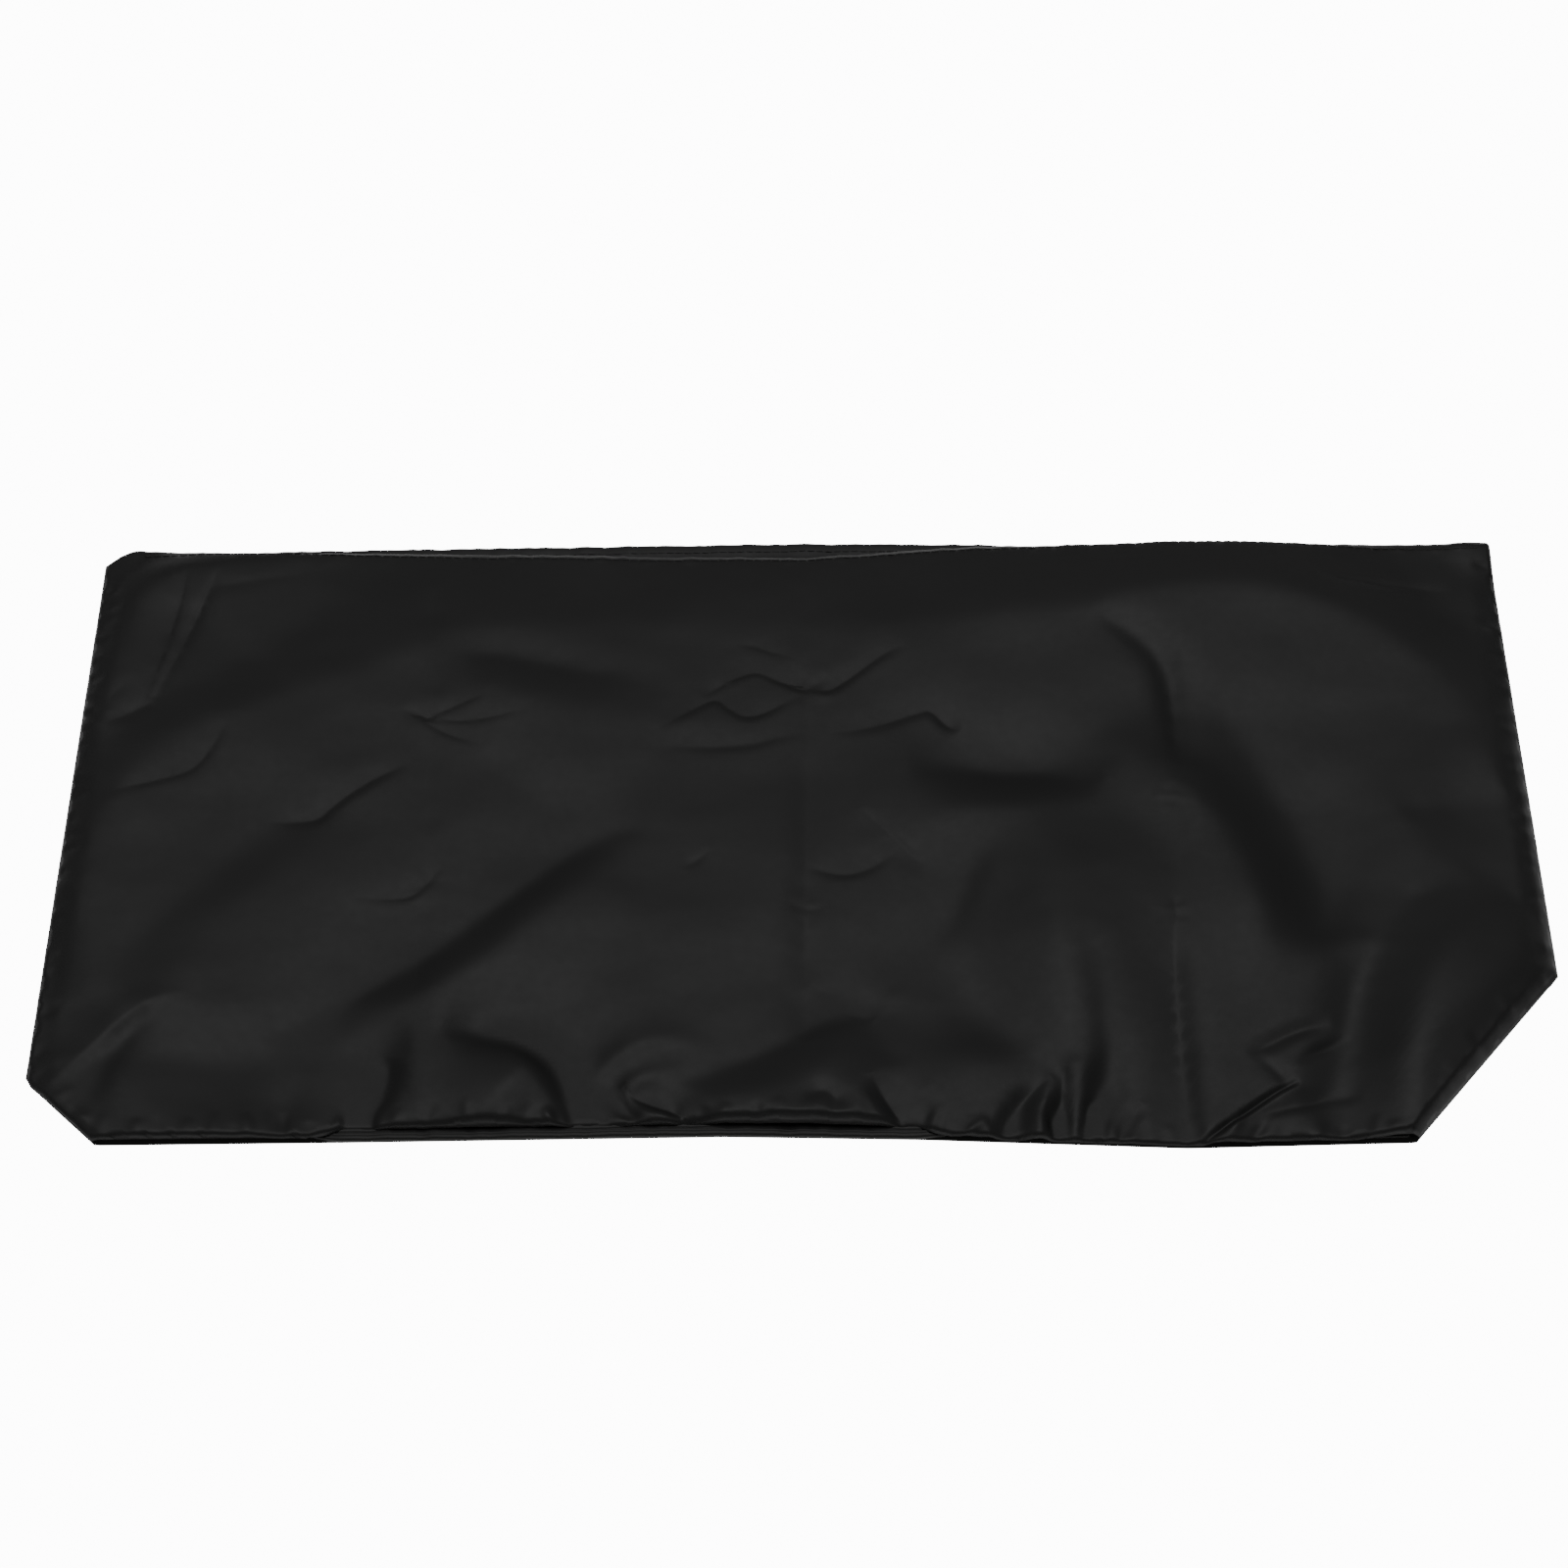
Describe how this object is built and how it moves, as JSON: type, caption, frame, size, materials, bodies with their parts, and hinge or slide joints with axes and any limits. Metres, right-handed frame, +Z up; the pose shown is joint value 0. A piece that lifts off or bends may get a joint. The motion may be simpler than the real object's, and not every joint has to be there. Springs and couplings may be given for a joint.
{
  "type": "printer cover",
  "caption": "Fitted dust cover of black coated cloth for a desktop printer, lying empty and collapsed on a table, with soft folds on its top panel and a gusset folded in between the panels.",
  "frame": {"origin": "middle of the underside, on the surface that the cover lies on", "axes": "+X along the cover's width, +Y from the closed top end towards the open mouth, +Z up"},
  "size_m": [0.457, 0.2409, 0.0137],
  "materials": {
    "black_cloth": "fine plain weave of black polyester with a water-resistant coating, soft low sheen"
  },
  "bodies": {
    "root": {"front_panel": "black_cloth", "back_panel": "black_cloth", "gusset": "black_cloth"}
  },
  "joints": []
}
